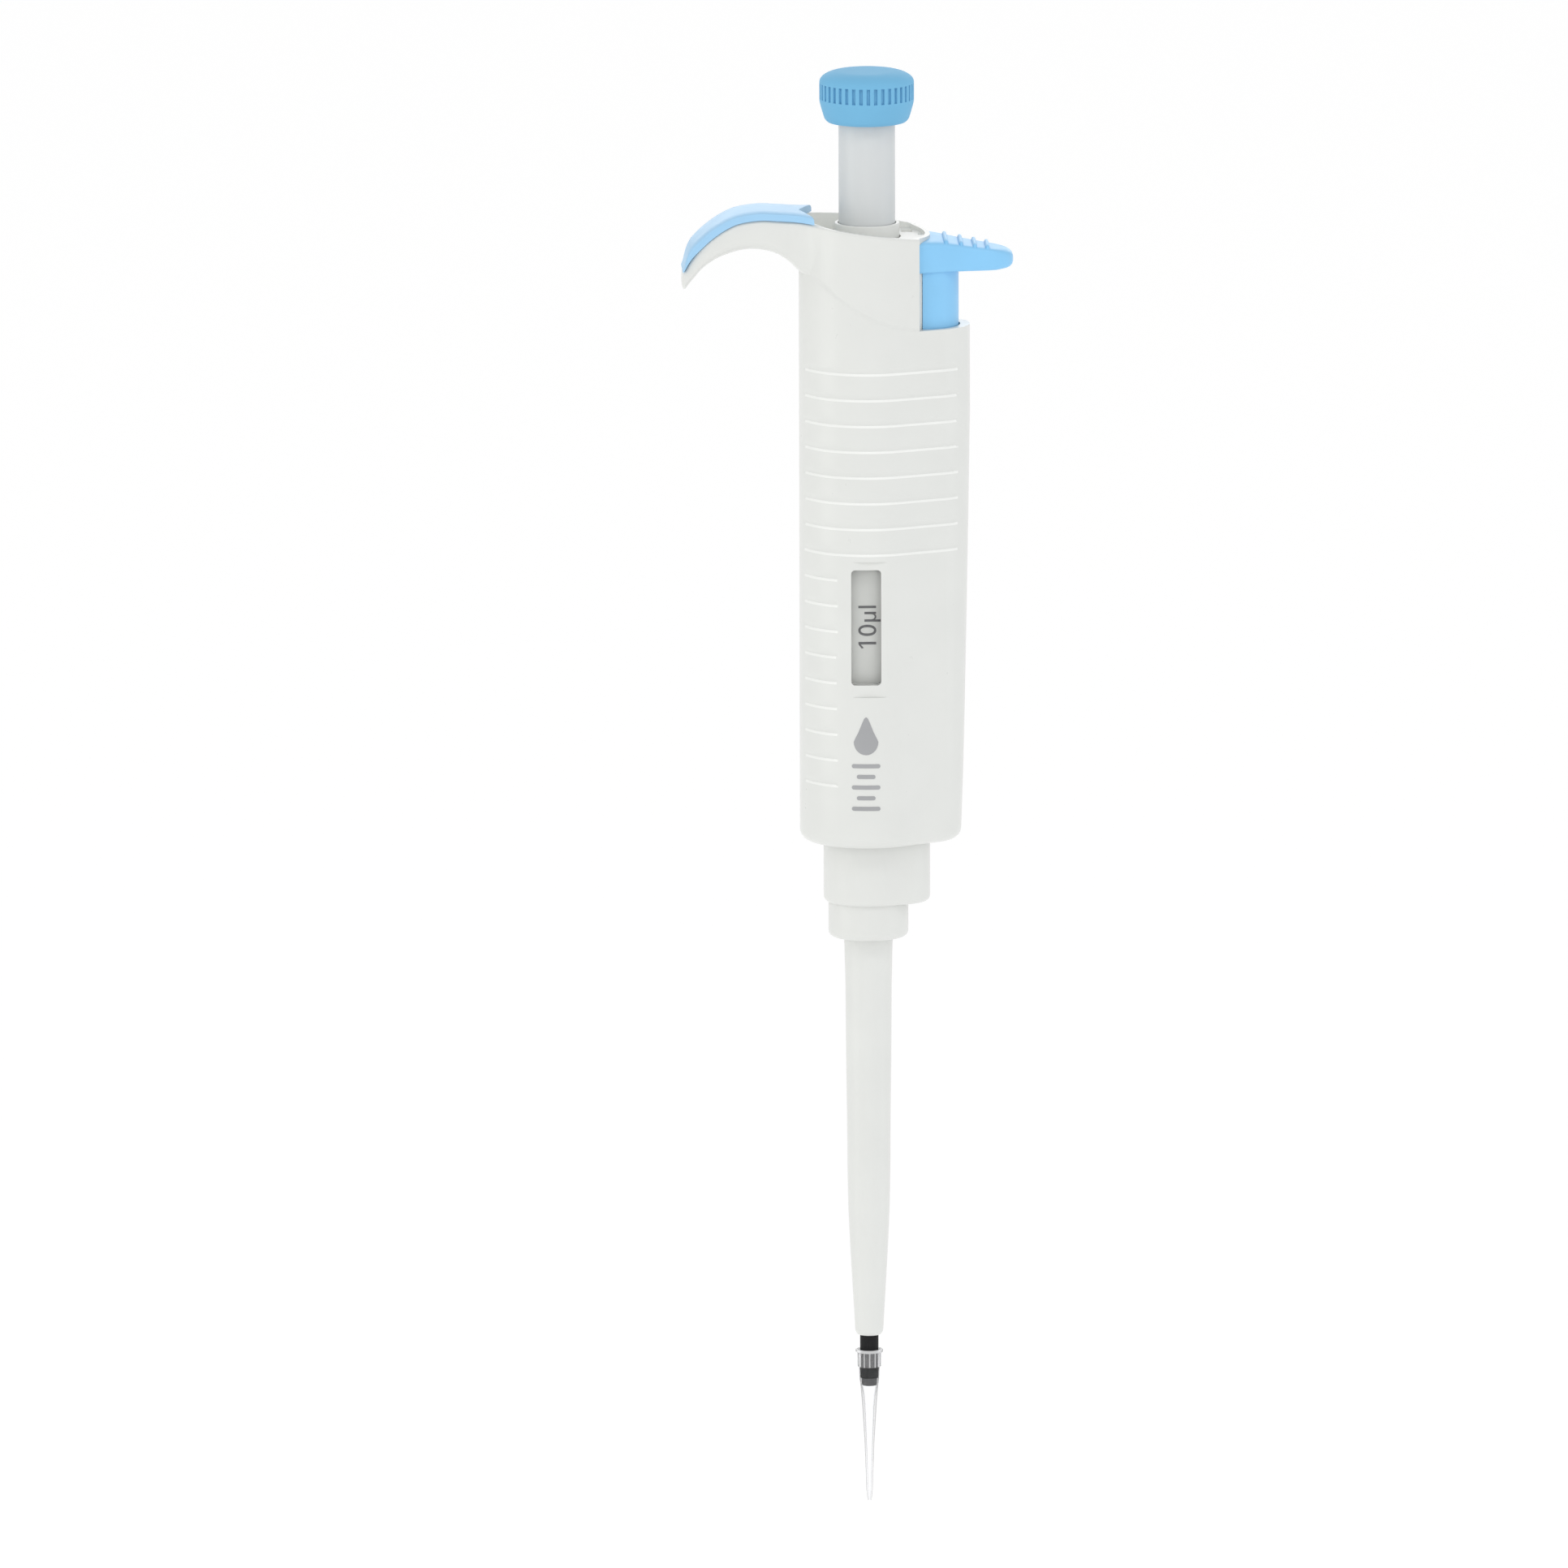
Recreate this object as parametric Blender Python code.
"""Micropipette with a fixed volume of 10 microlitres: an air-displacement pipette with a finger hook,
a tip ejector and a fitted tip, as separate pieces.

Every length in this file is in millimetres, and MM turns it into metres. The pieces are modelled round the
piston axis (X = Y = 0) with Z = 0 at the bottom of the handle. The finger hook points to -X and the ejector
button to +X. The empty "pipette" shifts the whole assembly, so that the world's origin is the top of the
arch under the finger hook, where the forefinger carries the pipette.
"""

from math import acos, atan2, cos, hypot, pi, radians, sin

import bmesh
import bpy
from mathutils import Vector

MM = 0.001
GAP = 0.3                  # clearance between pieces that rest on each other
ROUND = 36                 # sides of a large round piece
SMALL_ROUND = 18           # sides of a small round piece

# The point under the finger hook that becomes the world's origin
HOOK_SADDLE = (-23.4, 122.5)

# Travel of the moving groups
PLUNGER_TRAVEL = 15.0      # 10.5 to the first stop, and the rest blows the last drop out
BLOWOUT_TRAVEL = 4.5
CALIBRATION_TRAVEL = 0.5   # the upper stop moves this far up or down, and the ejector group moves 8.5 down

# Handle
GRIP_R = 13.9              # round side, towards the hook
PALM_X = 11.5              # centre of the smaller round side, over the ejector rod
PALM_R = 9.4
PALM_R_BOTTOM = 7.3
GRIP_TOP = 106.4           # the ejector's stem enters the grip here
GRIP_FULL = 89.0           # the grip's end nearest the hand tapers below this height
WALL = 1.6
FLOOR = 2.2
NECK_INSET = 0.15          # the neck is this much slimmer than the grip
NECK_CUT_X = 10.3          # above the grip, the neck ends here at its flanks
NECK_BULGE = 2.5           # how far the neck's end bulges in the middle
NECK_BULGE_HALF_WIDTH = 7.2
RIM_Z = 126.3              # height of the neck's slanted rim on the piston axis
RIM_SLOPE = -0.12
WELL_FLOOR = 121.0
DECK_UNDERSIDE = 119.0
HOOK_WIDTH = 13.0

# Push button and its sleeve
BUTTON_TOP = 158.6
BUTTON_SEAT = 148.2
BUTTON_R = 9.62
SLEEVE_R = 5.75
SLEEVE_TOP = 150.9

# Calibration ring and upper stop
RING_TOP = 127.4
RING_R = 6.6
RING_FLANGE_R = 8.7
GUIDE_R = 9.0
GUIDE_BORE_R = 8.0
GUIDE_TOP = 116.7
GUIDE_BOTTOM = 11.0
STOP_BOTTOM = 103.0

# Plunger and its springs
ROD_R = 2.0
FLANGE_TOP = STOP_BOTTOM - GAP
FLANGE_BOTTOM = 99.4
CLIP_GROOVE = (98.0, 99.4)
SEAT_TOP = 62.1
SEAT_BOTTOM = 59.8
PRIMARY_SPRING_R = 5.4
PRIMARY_WIRE_R = 0.7
COLLAR_TOP = SEAT_BOTTOM - CALIBRATION_TRAVEL - 0.4
COLLAR_BOTTOM = 57.0
WASHER_TOP = COLLAR_BOTTOM - (PLUNGER_TRAVEL - BLOWOUT_TRAVEL) - CALIBRATION_TRAVEL - GAP
WASHER_BOTTOM = WASHER_TOP - 1.7
SPIGOT_TOP = 22.3
BLOWOUT_SPRING_R = 5.0
BLOWOUT_WIRE_R = 0.9

# Piston and nozzle
PISTON_R = 0.55
PISTON_END = -93.0
PISTON_GUIDE_TOP = 1.2     # the piston's head stops above this at the end of its travel
CONE_BORE_R = 0.85
COUNTERBORE_R = 2.7
COUNTERBORE_END = -73.0
NOZZLE_END = -113.8

# Ejector
YOKE_R = 9.1
YOKE_SIDE_X = 6.1
YOKE_SIDE_R = 6.5
YOKE_TOP = 9.4
YOKE_BOTTOM = -12.75
YOKE_BORE_R = 7.9
SLEEVE_COLLAR_TOP = YOKE_BOTTOM - GAP
ROD_BAR_X = (9.4, 10.9)
ROD_BAR_HALF_WIDTH = 3.0
ROD_BAR_BOTTOM = -5.5
ROD_BAR_TOP = 99.0
STEM_X = 10.9              # centre of the stem's round side
STEM_R = 7.75
STEM_INNER_X = 10.95       # the stem's flanks end here, next to the neck
STEM_BOTTOM = 100.0
FOOT_BOTTOM = 88.6
BUTTON_UNDERSIDE = 118.2
EJECTOR_SPRING_X = 15.0
EJECTOR_SPRING_R = 2.3
EJECTOR_WIRE_R = 0.4
SHELF_TOP = 57.3           # of the shelf inside the handle, under the ejector spring
PIN_FLANGE = (57.6, 59.7)
EJECTOR_SCREW_Z = 94.0

# Tip
TIP_TOP = -105.8
TIP_END = -137.3

BLUE = (0.28, 0.57, 0.87)
WHITE = (0.78, 0.80, 0.77)


# ------------------------------------------------------------------ materials

def material(name, color, roughness, metallic=0.0, alpha=1.0):
    """A Principled material, made once and shared by the pieces that name it."""
    found = bpy.data.materials.get(name)
    if found:
        return found
    made = bpy.data.materials.new(name)
    made.use_nodes = True
    shader = made.node_tree.nodes["Principled BSDF"]
    shader.inputs["Base Color"].default_value = (*color, 1.0)
    shader.inputs["Roughness"].default_value = roughness
    shader.inputs["Metallic"].default_value = metallic
    shader.inputs["Alpha"].default_value = alpha
    made.diffuse_color = (*color, alpha)
    return made


def white_plastic():
    return material("white_plastic", WHITE, 0.4)


def blue_plastic():
    return material("blue_plastic", BLUE, 0.38)


def steel():
    return material("steel", (0.62, 0.62, 0.64), 0.25, metallic=1.0)


def grey_plastic():
    return material("grey_plastic", (0.53, 0.54, 0.52), 0.5)


def black_plastic():
    return material("black_plastic", (0.03, 0.03, 0.035), 0.4)


def seal_plastic():
    return material("seal_plastic", (0.86, 0.86, 0.84), 0.45)


def rubber():
    return material("rubber", (0.04, 0.04, 0.04), 0.7)


def clear_plastic():
    return material("clear_plastic", (0.9, 0.92, 0.94), 0.08, alpha=0.35)


# ------------------------------------------------------------------ mesh helpers

def place(bm, name, finish):
    """Puts the bmesh into a new object of that name, under the assembly's empty. A helper has no finish."""
    for vertex in bm.verts:
        vertex.co *= MM
    bmesh.ops.recalc_face_normals(bm, faces=bm.faces)
    mesh = bpy.data.meshes.new(name)
    bm.to_mesh(mesh)
    bm.free()
    mesh.shade_smooth()
    mesh.set_sharp_from_angle(angle=radians(35))
    piece = bpy.data.objects.new(name, mesh)
    bpy.context.collection.objects.link(piece)
    piece.parent = bpy.data.objects["pipette"]
    if finish:
        mesh.materials.append(finish)
    else:
        piece.hide_render = True
        piece.display_type = "WIRE"
    return piece


def lathe(profile, sides=ROUND):
    """A bmesh turned about Z from a closed outline of (radius, z) points. Points on the axis close the shape."""
    bm = bmesh.new()
    ring = [bm.verts.new((radius, 0, z)) for radius, z in profile]
    edges = []
    for index, vertex in enumerate(ring):
        following = ring[(index + 1) % len(ring)]
        if vertex.co.x > 0 or following.co.x > 0:
            edges.append(bm.edges.new((vertex, following)))
    bmesh.ops.spin(
        bm, geom=ring + edges, cent=(0, 0, 0), axis=(0, 0, 1), angle=2 * pi, steps=sides, use_merge=True
    )
    on_axis = [vertex for vertex in bm.verts if hypot(vertex.co.x, vertex.co.y) < 1e-5]
    bmesh.ops.remove_doubles(bm, verts=on_axis, dist=1e-4)
    return bm


def prism(outline, low, high, axis="Z"):
    """A bmesh of a flat outline, extruded from low to high along the axis. An outline across Y holds (x, z)."""
    bm = bmesh.new()
    if axis == "Z":
        corners = [(x, y, low) for x, y in outline]
        step = (0, 0, high - low)
    elif axis == "Y":
        corners = [(x, low, z) for x, z in outline]
        step = (0, high - low, 0)
    else:
        corners = [(low, y, z) for y, z in outline]
        step = (high - low, 0, 0)
    face = bm.faces.new([bm.verts.new(corner) for corner in corners])
    extruded = bmesh.ops.extrude_face_region(bm, geom=[face])["geom"]
    bmesh.ops.translate(bm, verts=[v for v in extruded if isinstance(v, bmesh.types.BMVert)], vec=step)
    return bm


def block(low, high):
    """A box from its lowest to its highest corner."""
    return prism([(low[0], low[1]), (high[0], low[1]), (high[0], high[1]), (low[0], high[1])], low[2], high[2])


def loft(sections):
    """A bmesh through flat outlines with equal numbers of points, as (z, outline), closed at both ends."""
    bm = bmesh.new()
    rings = [[bm.verts.new((x, y, z)) for x, y in outline] for z, outline in sections]
    count = len(rings[0])
    for lower, upper in zip(rings, rings[1:]):
        for index in range(count):
            after = (index + 1) % count
            bm.faces.new((lower[index], lower[after], upper[after], upper[index]))
    bm.faces.new(rings[0])
    bm.faces.new(rings[-1])
    return bm


def circle(radius, sides=SMALL_ROUND, center=(0.0, 0.0)):
    """Points of a circle in the plane."""
    turns = [2 * pi * index / sides for index in range(sides)]
    return [(center[0] + radius * cos(turn), center[1] + radius * sin(turn)) for turn in turns]


def egg(big_r, small_x, small_r, sides=ROUND):
    """The outline of a belt round a circle on the axis and a second circle at small_x, as points."""
    split = acos((big_r - small_r) / small_x)
    small_share = sides // 3
    big_share = sides - small_share
    points = []
    for index in range(small_share + 1):
        turn = -split + 2 * split * index / small_share
        points.append((small_x + small_r * cos(turn), small_r * sin(turn)))
    for index in range(big_share + 1):
        turn = split + (2 * pi - 2 * split) * index / big_share
        points.append((big_r * cos(turn), big_r * sin(turn)))
    return points


def cut(piece, other, operation="DIFFERENCE"):
    """Adds a Boolean modifier with the helper object to the piece."""
    modifier = piece.modifiers.new(other.name, "BOOLEAN")
    modifier.operation = operation
    modifier.object = other
    modifier.solver = "EXACT"


def helper(bm, name):
    """A hidden object for a Boolean."""
    return place(bm, name, None)


def turned(name, profile, finish, sides=SMALL_ROUND):
    return place(lathe(profile, sides), name, finish)


def tube(name, inner, outer, low, high, finish, sides=SMALL_ROUND):
    """A plain tube or ring."""
    return turned(name, [(inner, high), (outer, high), (outer, low), (inner, low)], finish, sides)


def spring(name, low, high, radius, wire_r, turns, x=0.0):
    """A coil spring: a wire on a helix whose first and last turns lie flat."""
    steps = 12
    start = low + wire_r
    end = high - wire_r
    flat = 0.75
    curve = bpy.data.curves.new(name, "CURVE")
    curve.dimensions = "3D"
    curve.bevel_depth = wire_r * MM
    curve.bevel_resolution = 1
    curve.use_fill_caps = True
    spline = curve.splines.new("POLY")
    count = int(turns * steps)
    spline.points.add(count)
    # Each closed end turn rises by a little more than the wire's thickness.
    pitch_end = 2.3 * wire_r
    middle = (end - start - 2 * flat * pitch_end) / (turns - 2 * flat)
    for index, point in enumerate(spline.points):
        turn = index / steps
        if turn < flat:
            height = turn * pitch_end
        elif turn > turns - flat:
            height = (end - start) - (turns - turn) * pitch_end
        else:
            height = flat * pitch_end + (turn - flat) * middle
        angle = 2 * pi * turn
        where = (x + radius * cos(angle), radius * sin(angle), start + height)
        point.co = (*(MM * Vector(where)), 1.0)
    piece = bpy.data.objects.new(name, curve)
    bpy.context.collection.objects.link(piece)
    piece.parent = bpy.data.objects["pipette"]
    curve.materials.append(steel())
    return piece


# ------------------------------------------------------------------ handle

def palm_r(z):
    """Radius of the grip's side towards the ejector rod: it narrows a little towards the bottom."""
    share = min(1.0, max(0.0, z / GRIP_FULL))
    return PALM_R_BOTTOM + (PALM_R - PALM_R_BOTTOM) * share ** 0.7


def grip_outline(z, inset=0.0):
    return egg(GRIP_R - inset, PALM_X, palm_r(z) - inset)


def grip_solid():
    """The lower handle, with a rounded bottom edge."""
    edge = 2.3
    sections = []
    for step in range(5):
        angle = pi / 2 * step / 4
        inset = edge * (1 - sin(angle))
        sections.append((edge * (1 - cos(angle)), grip_outline(0.0, inset)))
    for z in (15.0, 29.0, 52.0, 74.0, GRIP_FULL, GRIP_TOP):
        sections.append((z, grip_outline(z)))
    return loft(sections)


def bulge(y):
    """How far the neck's end bulges towards the ejector button at this place across the pipette."""
    return NECK_BULGE * max(0.0, 1 - (y / NECK_BULGE_HALF_WIDTH) ** 2)


def neck_side(half_width, offset, steps=10):
    """Points that follow the neck's bulging side, from +Y to -Y."""
    across = [half_width * (1 - 2 * index / steps) for index in range(steps + 1)]
    return [(offset + bulge(y), y) for y in across]


def neck_outline(inset):
    """The neck's plan: the grip's outline, with a bulging end in place of the part that holds the stem."""
    points = [(x, y) for x, y in grip_outline(GRIP_TOP, inset) if x < NECK_CUT_X - inset]
    points.sort(key=lambda point: atan2(point[1], point[0]) % (2 * pi))
    last_x, last_y = points[0]
    before_x, before_y = points[1]
    slope = (last_y - before_y) / (last_x - before_x)
    corner = last_y + slope * (NECK_CUT_X - inset - last_x)
    return points + neck_side(corner, NECK_CUT_X - inset)[::-1]


def neck_solid():
    """The upper handle: the grip's outline, ended short of the ejector button, with a slanted top."""
    outline = neck_outline(NECK_INSET)
    bm = prism(outline, GRIP_TOP - 4.0, RIM_Z)
    for vertex in bm.verts:
        if vertex.co.z > GRIP_TOP:
            vertex.co.z = RIM_Z + RIM_SLOPE * vertex.co.x
    return bm


# The finger hook in the middle plane, from the neck out to the tip: (x, z) along its top and its underside
HOOK_TOP = [
    (-9.5, 127.0), (-14.5, 127.9), (-18.3, 128.3), (-22.0, 128.5), (-25.9, 128.0), (-28.4, 127.0),
    (-31.0, 125.4), (-33.5, 123.3), (-36.0, 120.6), (-37.4, 118.4), (-37.9, 116.0),
]
HOOK_UNDERSIDE = [
    (-37.3, 113.9), (-36.3, 115.3), (-35.3, 116.6), (-33.5, 118.7), (-31.0, 120.5), (-28.4, 121.6),
    (-25.9, 122.3), (-23.4, 122.5), (-20.8, 122.2), (-18.3, 121.4), (-15.8, 119.7), (-13.0, 116.8),
    (-9.5, 112.0),
]
COVER_TOP = [
    (-11.0, 129.2), (-15.8, 129.6), (-19.6, 129.8), (-23.4, 129.8), (-25.9, 129.6), (-28.4, 128.7),
    (-30.4, 127.8), (-32.5, 126.3), (-34.5, 124.5), (-36.0, 122.6), (-37.2, 120.5), (-37.8, 119.1),
]


def rounded_bar(outline, half_width, edge, name):
    """An outline in the XZ plane, extruded across the pipette, with rounded long edges."""
    piece = helper(prism(outline, -half_width, half_width, axis="Y"), name)
    bevel = piece.modifiers.new("edge", "BEVEL")
    bevel.width = edge * MM
    bevel.segments = 3
    bevel.limit_method = "ANGLE"
    bevel.angle_limit = radians(60)
    return piece


def handle_shell():
    """Grip, neck and finger hook in one moulding, hollow, open at the bottom, the top and the window."""
    shell = place(grip_solid(), "handle_shell", white_plastic())
    cut(shell, helper(neck_solid(), "neck_body"), "UNION")
    hook = rounded_bar(HOOK_TOP + HOOK_UNDERSIDE, HOOK_WIDTH / 2, 1.6, "hook_body")
    cut(shell, hook, "UNION")

    inside = [(z, grip_outline(z, WALL)) for z in (FLOOR, 29.0, 52.0, 74.0, GRIP_FULL, GRIP_TOP - WALL)]
    cut(shell, helper(loft(inside), "grip_hollow"))
    cut(shell, helper(prism(neck_outline(1.8), GRIP_TOP - 6.0, DECK_UNDERSIDE), "neck_hollow"))

    # The well round the calibration ring, and the hole in its floor that the ring passes through
    cut(shell, helper(prism(neck_outline(1.6), WELL_FLOOR, RIM_Z + 6.0), "ring_well"))
    ring_hole = circle(RING_R + GAP, ROUND)
    cut(shell, helper(prism(ring_hole, DECK_UNDERSIDE - 1.0, WELL_FLOOR + 1.0), "ring_hole"))

    # The yoke slides through the floor, and the stem through the ledge beside the neck
    yoke_hole = egg(YOKE_R + 0.35, YOKE_SIDE_X, YOKE_SIDE_R + 0.35)
    cut(shell, helper(prism(yoke_hole, -1.0, FLOOR + 1.0), "yoke_hole"))
    stem_hole = stem_outline(GAP)
    cut(shell, helper(prism(stem_hole, GRIP_TOP - WALL - 1.0, GRIP_TOP + 1.0), "stem_hole"))
    window = block((WINDOW_X[0], -16.0, WINDOW_Z[0]), (WINDOW_X[1], -10.0, WINDOW_Z[1]))
    cut(shell, helper(window, "window_hole"))

    # A shelf inside carries the foot of the ejector spring
    shelf = block((12.0, -4.5, SHELF_TOP - 2.3), (18.3, 4.5, SHELF_TOP))
    cut(shell, helper(shelf, "spring_shelf"), "UNION")
    return shell


def hook_cover():
    """The soft blue pad on top of the hook, which ends in a V-notch towards the neck."""
    lift = GAP + 0.02
    below = [(-11.0, 127.95), (-13.0, 128.2)] + [(x, z + lift) for x, z in HOOK_TOP[1:-1]]
    outline = COVER_TOP + below[::-1]
    cover = place(prism(outline, -7.0, 7.0, axis="Y"), "hook_cover", blue_plastic())
    notch = [(-9.0, -11.2), (-13.8, 0.0), (-9.0, 11.2)]
    cut(cover, helper(prism(notch, 120.0, 135.0), "cover_notch"))
    return cover


# ------------------------------------------------------------------ window

WINDOW_X = (-3.75, 2.55)
WINDOW_Z = (33.5, 57.3)


def window_pieces():
    """The clear pane in the window and the printed plate behind it."""
    lens_low = (WINDOW_X[0] + GAP, -13.4, WINDOW_Z[0] + GAP)
    lens_high = (WINDOW_X[1] - GAP, -12.4, WINDOW_Z[1] - GAP)
    place(block(lens_low, lens_high), "window_lens", clear_plastic())
    plate_low = (WINDOW_X[0] - 0.65, -10.9, WINDOW_Z[0] - 2.0)
    plate_high = (WINDOW_X[1] + 0.65, -9.9, WINDOW_Z[1] + 2.0)
    place(block(plate_low, plate_high), "volume_plate", grey_plastic())


# ------------------------------------------------------------------ chassis inside the handle

def guide_tube():
    """The chassis tube. A narrow band inside it holds the blow-out washer up."""
    band = (WASHER_TOP + GAP, WASHER_TOP + GAP + 1.5)
    profile = [
        (GUIDE_BORE_R, GUIDE_TOP), (GUIDE_R, GUIDE_TOP), (GUIDE_R, GUIDE_BOTTOM), (GUIDE_BORE_R, GUIDE_BOTTOM),
        (GUIDE_BORE_R, band[0]), (6.2, band[0]), (6.2, band[1]), (GUIDE_BORE_R, band[1]),
    ]
    turned("guide_tube", profile, grey_plastic(), 28)


def spring_seat():
    tube("spring_seat", 2.9, GUIDE_BORE_R - GAP, SEAT_BOTTOM, SEAT_TOP, grey_plastic())


def bottom_spigot():
    """Closes the guide tube and carries the nozzle. The piston holder dives into its upper bore."""
    profile = [
        (4.1, SPIGOT_TOP), (7.6, SPIGOT_TOP), (7.6, -1.2), (4.6, -1.2), (4.6, -8.1), (3.0, -8.1),
        (3.0, 3.0), (4.1, 3.0),
    ]
    turned("bottom_spigot", profile, grey_plastic(), 24)


def coupling_nut():
    """A hexagonal nut, 11 mm across its flats, with a lip under the nozzle's flange."""
    corner = 5.5 / cos(pi / 6)
    nut = place(prism(circle(corner, 6), -12.0, -2.0), "coupling_nut", steel())
    bore = [(0, -1.0), (4.9, -1.0), (4.9, -10.7), (4.1, -10.7), (4.1, -13.0), (0, -13.0)]
    cut(nut, helper(lathe(bore, SMALL_ROUND), "nut_bore"))


def tip_cone():
    """The long nozzle: a flange at its top, a wide bore for the seal and a fine one for the piston and the air."""
    outside = [
        (4.6, -8.4), (4.6, -10.4), (3.8, -10.4), (3.8, -22.0), (3.55, -35.0), (3.35, -57.0), (3.25, -70.0),
        (3.1, -77.0), (2.75, -84.0), (2.45, -90.0), (2.1, -97.0), (1.8, -101.5), (1.8, -108.6),
        (1.35, -110.4), (1.1, -112.3), (0.9, -113.6), (0.75, NOZZLE_END),
    ]
    inside = [
        (0.4, NOZZLE_END), (0.4, -109.1), (CONE_BORE_R, -109.1), (CONE_BORE_R, COUNTERBORE_END),
        (COUNTERBORE_R, COUNTERBORE_END), (COUNTERBORE_R, -8.4),
    ]
    turned("tip_cone", outside + inside, black_plastic())


def seal_stack():
    """The pieces in the nozzle's wide bore, from the bottom: seal, O-ring, retainer, spring and piston guide."""
    seal_bottom = COUNTERBORE_END + GAP
    seal_top = seal_bottom + 3.5
    tube("piston_seal", 0.75, 2.4, seal_bottom, seal_top, seal_plastic(), 20)
    ring_r = 0.6
    ring_z = seal_top + GAP + ring_r
    section = circle(ring_r, 8, (1.6, ring_z))
    turned("seal_o_ring", section[::-1], rubber(), 16)
    retainer_bottom = ring_z + ring_r + GAP
    retainer_top = retainer_bottom + 3.5
    tube("seal_retainer", 0.9, 2.4, retainer_bottom, retainer_top, grey_plastic(), 20)
    spring_bottom = retainer_top + GAP
    spring_top = spring_bottom + 7.0
    spring("seal_spring", spring_bottom, spring_top, 1.75, 0.25, 3.5)
    tube("piston_guide", 0.9, 2.4, spring_top + GAP, PISTON_GUIDE_TOP, grey_plastic(), 20)


# ------------------------------------------------------------------ calibration and upper stop

def calibration_ring():
    """The ring in the well. Its flange turns under the deck, and its skirt carries the stop sleeve's thread."""
    bore = SLEEVE_R + 0.2
    profile = [
        (bore, RING_TOP), (RING_R, RING_TOP), (RING_R, DECK_UNDERSIDE - GAP),
        (RING_FLANGE_R, DECK_UNDERSIDE - GAP), (RING_FLANGE_R, GUIDE_TOP + GAP), (7.7, GUIDE_TOP + GAP),
        (7.7, 110.0), (7.15, 110.0), (7.15, GUIDE_TOP + GAP), (bore, GUIDE_TOP + GAP),
    ]
    turned("calibration_ring", profile, white_plastic(), ROUND)


def stop_sleeve():
    """The upper stop. Its neck runs in the ring's skirt, and its foot stops the plunger flange."""
    bore = SLEEVE_R + GAP
    profile = [
        (bore, 116.2), (6.85, 116.2), (6.85, 109.0), (7.7, 109.0), (7.7, STOP_BOTTOM), (bore, STOP_BOTTOM),
    ]
    turned("stop_sleeve", profile, grey_plastic(), 28)


# ------------------------------------------------------------------ push button and plunger

def push_button():
    """The knob: a rounded top with a flat middle, a straight band and a cone down to the flat seat under it."""
    outside = [(0.0, BUTTON_TOP), (5.0, BUTTON_TOP)]
    for step in range(1, 6):
        angle = pi / 2 * step / 5
        outside.append((5.0 + (BUTTON_R - 5.0) * sin(angle), 156.0 + (BUTTON_TOP - 156.0) * cos(angle)))
    outside += [(BUTTON_R, 152.2), (9.3, 151.0), (8.8, 149.2), (8.0, BUTTON_SEAT)]
    socket = [
        (SLEEVE_R + GAP, BUTTON_SEAT), (SLEEVE_R + GAP, SLEEVE_TOP + GAP), (ROD_R + GAP, SLEEVE_TOP + GAP),
        (ROD_R + GAP, 154.0), (0.0, 154.0),
    ]
    turned("push_button", outside + socket, blue_plastic(), ROUND)


def button_sleeve():
    """The tube under the button. A web inside it centres it on the plunger rod."""
    bore = 4.6
    web = (145.0, 147.0)
    profile = [
        (bore, SLEEVE_TOP), (SLEEVE_R, SLEEVE_TOP), (SLEEVE_R, FLANGE_TOP + 0.4), (bore, FLANGE_TOP + 0.4),
        (bore, web[0]), (ROD_R + GAP, web[0]), (ROD_R + GAP, web[1]), (bore, web[1]),
    ]
    turned("button_sleeve", profile, white_plastic(), ROUND)


def plunger_rod():
    """The steel rod from the button to the piston holder, with a groove for the retaining clip."""
    top = 153.7
    bottom = 19.0
    profile = [
        (0.0, top), (1.7, top), (ROD_R, top - 0.3), (ROD_R, CLIP_GROOVE[1]), (1.5, CLIP_GROOVE[1]),
        (1.5, CLIP_GROOVE[0]), (ROD_R, CLIP_GROOVE[0]), (ROD_R, bottom), (0.0, bottom),
    ]
    turned("plunger_rod", profile, steel(), 20)


def plunger_pieces():
    """What rides on the rod: flange, clip, first-stop collar, piston holder and piston."""
    tube("plunger_flange", ROD_R + GAP, 6.9, FLANGE_BOTTOM, FLANGE_TOP, grey_plastic(), 32)
    clip = [(3.6 * cos(turn), 3.6 * sin(turn)) for turn in arc(40, 320, 18)]
    clip += [(1.8 * cos(turn), 1.8 * sin(turn)) for turn in arc(320, 40, 18)]
    place(prism(clip, CLIP_GROOVE[0] + GAP, CLIP_GROOVE[1] - GAP), "retaining_clip", steel())
    tube("stop_collar", ROD_R + GAP, 5.0, COLLAR_BOTTOM, COLLAR_TOP, steel())
    holder = [
        (ROD_R + GAP, 26.0), (3.6, 26.0), (3.6, 20.0), (2.4, 18.7), (PISTON_R + 0.2, 18.7),
        (PISTON_R + 0.2, 18.85), (ROD_R + GAP, 18.85),
    ]
    turned("piston_holder", holder, grey_plastic())
    turned("piston", [(0.0, 18.55), (1.6, 18.55), (1.6, 17.2), (PISTON_R, 17.0), (PISTON_R, PISTON_END),
                      (0.0, PISTON_END)], steel(), 16)


def arc(first, last, steps):
    """Angles in radians, from first to last degrees."""
    return [radians(first + (last - first) * index / steps) for index in range(steps + 1)]


def blowout_washer():
    tube("blowout_washer", ROD_R + 0.4, 7.2, WASHER_BOTTOM, WASHER_TOP, steel())


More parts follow.
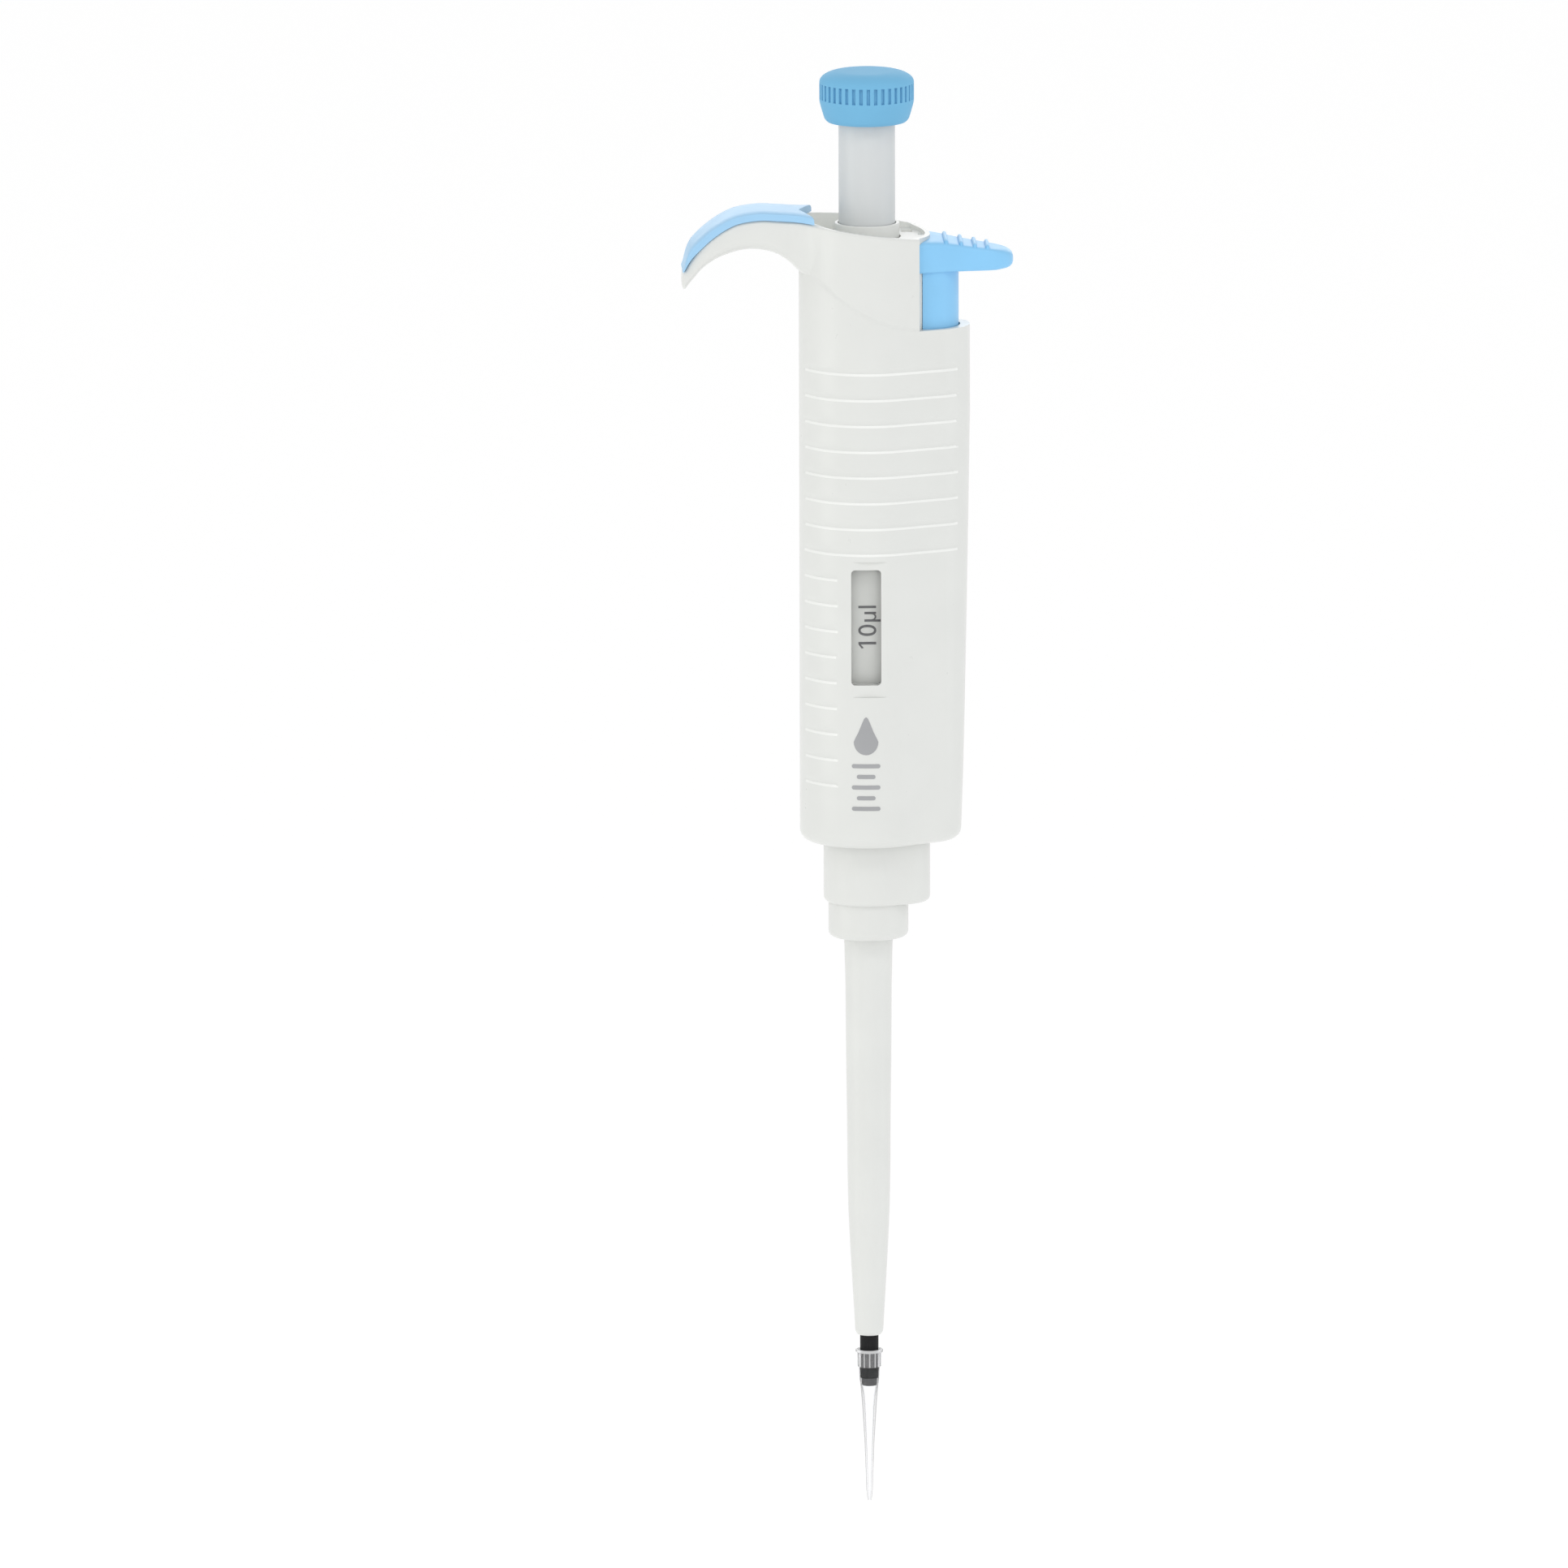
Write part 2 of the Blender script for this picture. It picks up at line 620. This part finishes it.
def springs():
    spring("primary_spring", SEAT_TOP + GAP, FLANGE_BOTTOM - GAP, PRIMARY_SPRING_R, PRIMARY_WIRE_R, 8.0)
    spring("blowout_spring", SPIGOT_TOP + GAP, WASHER_BOTTOM - GAP, BLOWOUT_SPRING_R, BLOWOUT_WIRE_R, 5.5)
    spring(
        "ejector_spring", PIN_FLANGE[1] + GAP, FOOT_BOTTOM - GAP, EJECTOR_SPRING_R, EJECTOR_WIRE_R, 7.0,
        x=EJECTOR_SPRING_X,
    )


# ------------------------------------------------------------------ ejector

def stem_outline(grow=0.0):
    """The stem's section: round on the outside, and following the neck on the inside."""
    radius = STEM_R + grow
    inner_x = STEM_INNER_X - grow
    half_angle = acos((inner_x - STEM_X) / radius)
    turns = [half_angle * (2 * index / 20 - 1) for index in range(21)]
    outer = [(STEM_X + radius * cos(turn), radius * sin(turn)) for turn in turns]
    return outer + neck_side(outer[-1][1], inner_x)[1:-1]


def ejector_button():
    """The thumb lever beside the neck with its stem, one moulding."""
    side = [
        (STEM_INNER_X - 1.0, BUTTON_UNDERSIDE), (27.0, BUTTON_UNDERSIDE), (28.9, 118.7), (29.8, 119.7),
        (29.7, 120.6), (28.9, 121.3), (27.6, 121.9), (24.5, 122.4), (15.5, 124.0), (12.6, 124.3),
        (STEM_INNER_X - 1.0, 124.3),
    ]
    lever = place(prism(side, -9.5, 9.5, axis="Y"), "ejector_button", blue_plastic())
    plan = [(12.6, -8.4), (16.0, -6.8), (20.0, -5.8), (24.5, -5.0), (27.5, -4.2), (29.3, -2.4), (30.0, 0.0)]
    plan += [(x, -y) for x, y in plan[-2::-1]]
    plan += neck_side(9.0, STEM_INNER_X)
    cut(lever, helper(prism(plan, 110.0, 130.0), "lever_plan"), "INTERSECT")
    stem = prism(stem_outline(), STEM_BOTTOM, BUTTON_UNDERSIDE + 2.0)
    cut(lever, helper(stem, "stem_body"), "UNION")
    foot = block((ROD_BAR_X[1] + GAP, -3.4, FOOT_BOTTOM), (17.6, 3.4, STEM_BOTTOM + 1.0))
    cut(lever, helper(foot, "stem_foot"), "UNION")
    hole = helper(prism(circle(1.2, 16, (0.0, EJECTOR_SCREW_Z)), 9.0, 19.0, axis="X"), "screw_hole")
    cut(lever, hole)
    sink = helper(prism(circle(2.1, 16, (0.0, EJECTOR_SCREW_Z)), 14.4, 19.0, axis="X"), "screw_sink")
    cut(lever, sink)


def ejector_rod():
    """The flat bar inside the handle, from the stem's foot down to the yoke."""
    bar = block(
        (ROD_BAR_X[0], -ROD_BAR_HALF_WIDTH, ROD_BAR_BOTTOM), (ROD_BAR_X[1], ROD_BAR_HALF_WIDTH, ROD_BAR_TOP)
    )
    rod = place(bar, "ejector_rod", steel())
    hole = prism(circle(1.2, 16, (0.0, EJECTOR_SCREW_Z)), ROD_BAR_X[0] - 1, ROD_BAR_X[1] + 1, axis="X")
    cut(rod, helper(hole, "rod_hole"))


def ejector_screw():
    """Holds the bar on the stem's foot, along X."""
    screw = turned("ejector_screw", [(0.0, 15.9), (1.3, 15.9), (1.8, 15.4), (1.8, 14.7), (0.9, 14.7), (0.9, 9.6),
                                     (0.0, 9.6)], steel(), 16)
    screw.rotation_euler = (0, pi / 2, 0)
    screw.location = (0, 0, EJECTOR_SCREW_Z * MM)


def ejector_spring_pin():
    """Stands on the shelf in the handle and keeps the ejector spring straight."""
    profile = [
        (0.0, 76.0), (1.0, 76.0), (1.4, 75.5), (1.4, PIN_FLANGE[1]), (3.2, PIN_FLANGE[1]), (3.2, PIN_FLANGE[0]),
        (0.0, PIN_FLANGE[0]),
    ]
    pin = turned("ejector_spring_pin", profile, steel(), 20)
    pin.location = (EJECTOR_SPRING_X * MM, 0, 0)


def ejector_yoke():
    """The upper collar, which slides into the handle. Its bore clears the nut, and its slot holds the bar."""
    edge = 1.0
    sections = []
    for step in range(4):
        angle = pi / 2 * step / 3
        inset = edge * (1 - sin(angle))
        sections.append((YOKE_BOTTOM + edge * (1 - cos(angle)), egg(YOKE_R - inset, YOKE_SIDE_X, YOKE_SIDE_R - inset)))
    sections.append((YOKE_TOP, egg(YOKE_R, YOKE_SIDE_X, YOKE_SIDE_R)))
    yoke = place(loft(sections), "ejector_yoke", white_plastic())
    cut(yoke, helper(prism(circle(YOKE_BORE_R, ROUND), YOKE_BOTTOM - 1, YOKE_TOP + 1), "yoke_bore"))
    width = ROD_BAR_HALF_WIDTH + GAP
    slot = block((ROD_BAR_X[0] - GAP, -width, ROD_BAR_BOTTOM - GAP), (ROD_BAR_X[1] + GAP, width, YOKE_TOP + 1))
    cut(yoke, helper(slot, "yoke_slot"))


def ejector_sleeve():
    """The lower collar and the long tapered tube that pushes the tip off."""
    outside = [
        (7.6, -6.0), (7.6, SLEEVE_COLLAR_TOP), (8.14, SLEEVE_COLLAR_TOP), (8.14, -18.7), (7.8, -19.5),
        (6.9, -19.9), (4.95, -20.0), (4.9, -22.0), (4.72, -30.0), (4.63, -43.5), (4.46, -57.0), (4.38, -70.0),
        (4.22, -77.0), (3.88, -84.0), (3.55, -90.0), (3.14, -97.0), (2.9, -101.5), (2.7, -102.4), (2.4, -102.7),
    ]
    inside = [
        (2.1, -102.7), (2.1, -101.5), (2.4, -97.0), (2.75, -90.0), (3.05, -84.0), (3.4, -77.0), (3.55, -70.0),
        (3.65, -57.0), (3.85, -35.0), (4.1, -22.0), (4.1, -18.0), (6.9, -14.0), (6.9, -6.0),
    ]
    turned("ejector_sleeve", outside + inside, white_plastic(), 24)


# ------------------------------------------------------------------ tip

def tip():
    """The fitted tip: a flared rim, a collar over the nozzle and a body that tapers to a fine end."""
    outside = [
        (2.9, TIP_TOP), (2.9, -106.3), (2.65, -106.8), (2.65, -109.6), (2.15, -110.5), (1.62, -113.4),
        (1.45, -117.0), (1.25, -121.0), (1.0, -125.0), (0.82, -130.0), (0.65, -135.0), (0.4, TIP_END),
    ]
    inside = [
        (0.2, TIP_END), (0.3, -135.0), (0.55, -128.0), (0.95, -117.0), (1.15, NOZZLE_END), (1.4, -112.3),
        (1.65, -110.4), (2.1, -108.6), (2.1, TIP_TOP),
    ]
    turned("tip", outside + inside, clear_plastic())


def clear_scene():
    for thing in list(bpy.data.objects):
        bpy.data.objects.remove(thing, do_unlink=True)


def main():
    clear_scene()
    assembly = bpy.data.objects.new("pipette", None)
    bpy.context.collection.objects.link(assembly)
    assembly.location = (-HOOK_SADDLE[0] * MM, 0, -HOOK_SADDLE[1] * MM)

    handle_shell()
    hook_cover()
    window_pieces()
    guide_tube()
    spring_seat()
    bottom_spigot()
    coupling_nut()
    tip_cone()
    seal_stack()
    calibration_ring()
    stop_sleeve()
    push_button()
    button_sleeve()
    plunger_rod()
    plunger_pieces()
    blowout_washer()
    springs()
    ejector_button()
    ejector_rod()
    ejector_screw()
    ejector_spring_pin()
    ejector_yoke()
    ejector_sleeve()
    tip()


main()
